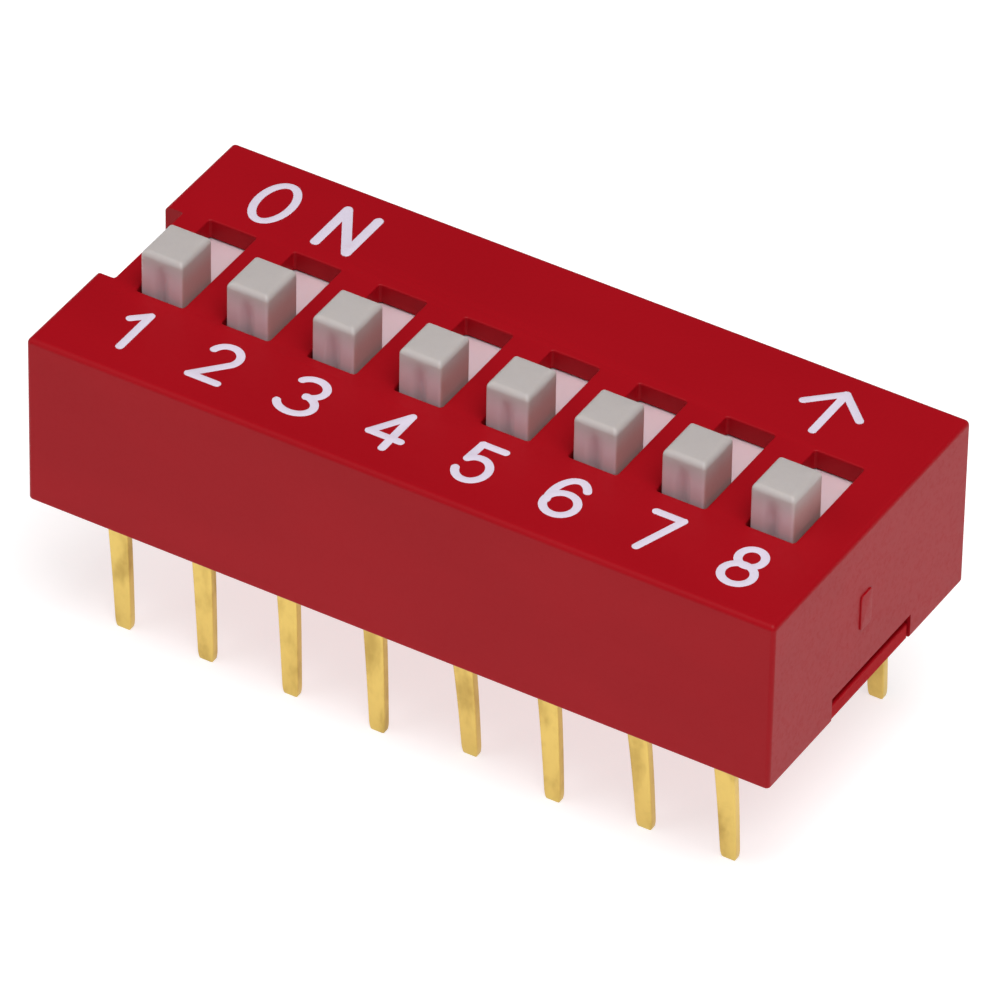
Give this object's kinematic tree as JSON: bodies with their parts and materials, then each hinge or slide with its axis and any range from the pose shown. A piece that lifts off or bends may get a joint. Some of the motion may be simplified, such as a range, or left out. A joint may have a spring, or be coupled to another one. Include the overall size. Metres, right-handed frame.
{
  "type": "dip switch",
  "caption": "Through-hole slide DIP switch: moulded red cover and base, raised ivory slide knobs in windows, and two rows of flat gold-plated pins.",
  "frame": {"origin": "centre of the two pin rows, on the underside of the body where it seats on the board; the pins reach below it", "axes": "+X along the body from switch 1 to switch 8, +Y from the numbered OFF side to the ON side, +Z out of the board through the knobs"},
  "size_m": [0.0218, 0.0098, 0.0103],
  "materials": {
    "cover_plastic": "satin moulded",
    "base_plastic": "satin moulded",
    "knob_plastic": "fine matte moulded",
    "gold_plate": "thin gold plating over a stamped copper alloy",
    "epoxy": "poured, glossy",
    "print": "pad-printed ink"
  },
  "bodies": {
    "housing": {"cover": "cover_plastic", "base": "base_plastic", "front_seal": "epoxy", "rear_seal": "epoxy", "front_terminal_1": "gold_plate", "front_terminal_2": "gold_plate", "front_terminal_3": "gold_plate", "front_terminal_4": "gold_plate", "front_terminal_5": "gold_plate", "front_terminal_6": "gold_plate", "front_terminal_7": "gold_plate", "front_terminal_8": "gold_plate", "rear_terminal_1": "gold_plate", "rear_terminal_2": "gold_plate", "rear_terminal_3": "gold_plate", "rear_terminal_4": "gold_plate", "rear_terminal_5": "gold_plate", "rear_terminal_6": "gold_plate", "rear_terminal_7": "gold_plate", "rear_terminal_8": "gold_plate"},
    "switch_1": {"slider_1": "knob_plastic", "contact_1": "gold_plate"},
    "switch_2": {"slider_2": "knob_plastic", "contact_2": "gold_plate"},
    "switch_3": {"slider_3": "knob_plastic", "contact_3": "gold_plate"},
    "switch_4": {"slider_4": "knob_plastic", "contact_4": "gold_plate"},
    "switch_5": {"slider_5": "knob_plastic", "contact_5": "gold_plate"},
    "switch_6": {"slider_6": "knob_plastic", "contact_6": "gold_plate"},
    "switch_7": {"slider_7": "knob_plastic", "contact_7": "gold_plate"},
    "switch_8": {"slider_8": "knob_plastic", "contact_8": "gold_plate"}
  },
  "joints": [
    {"name": "switch_1_slide", "type": "slide", "parent": "housing", "child": "switch_1", "axis": [0, 1, 0], "range_m": [0, 0.0019]},
    {"name": "switch_2_slide", "type": "slide", "parent": "housing", "child": "switch_2", "axis": [0, 1, 0], "range_m": [0, 0.0019]},
    {"name": "switch_3_slide", "type": "slide", "parent": "housing", "child": "switch_3", "axis": [0, 1, 0], "range_m": [0, 0.0019]},
    {"name": "switch_4_slide", "type": "slide", "parent": "housing", "child": "switch_4", "axis": [0, 1, 0], "range_m": [0, 0.0019]},
    {"name": "switch_5_slide", "type": "slide", "parent": "housing", "child": "switch_5", "axis": [0, 1, 0], "range_m": [0, 0.0019]},
    {"name": "switch_6_slide", "type": "slide", "parent": "housing", "child": "switch_6", "axis": [0, 1, 0], "range_m": [0, 0.0019]},
    {"name": "switch_7_slide", "type": "slide", "parent": "housing", "child": "switch_7", "axis": [0, 1, 0], "range_m": [0, 0.0019]},
    {"name": "switch_8_slide", "type": "slide", "parent": "housing", "child": "switch_8", "axis": [0, 1, 0], "range_m": [0, 0.0019]}
  ]
}
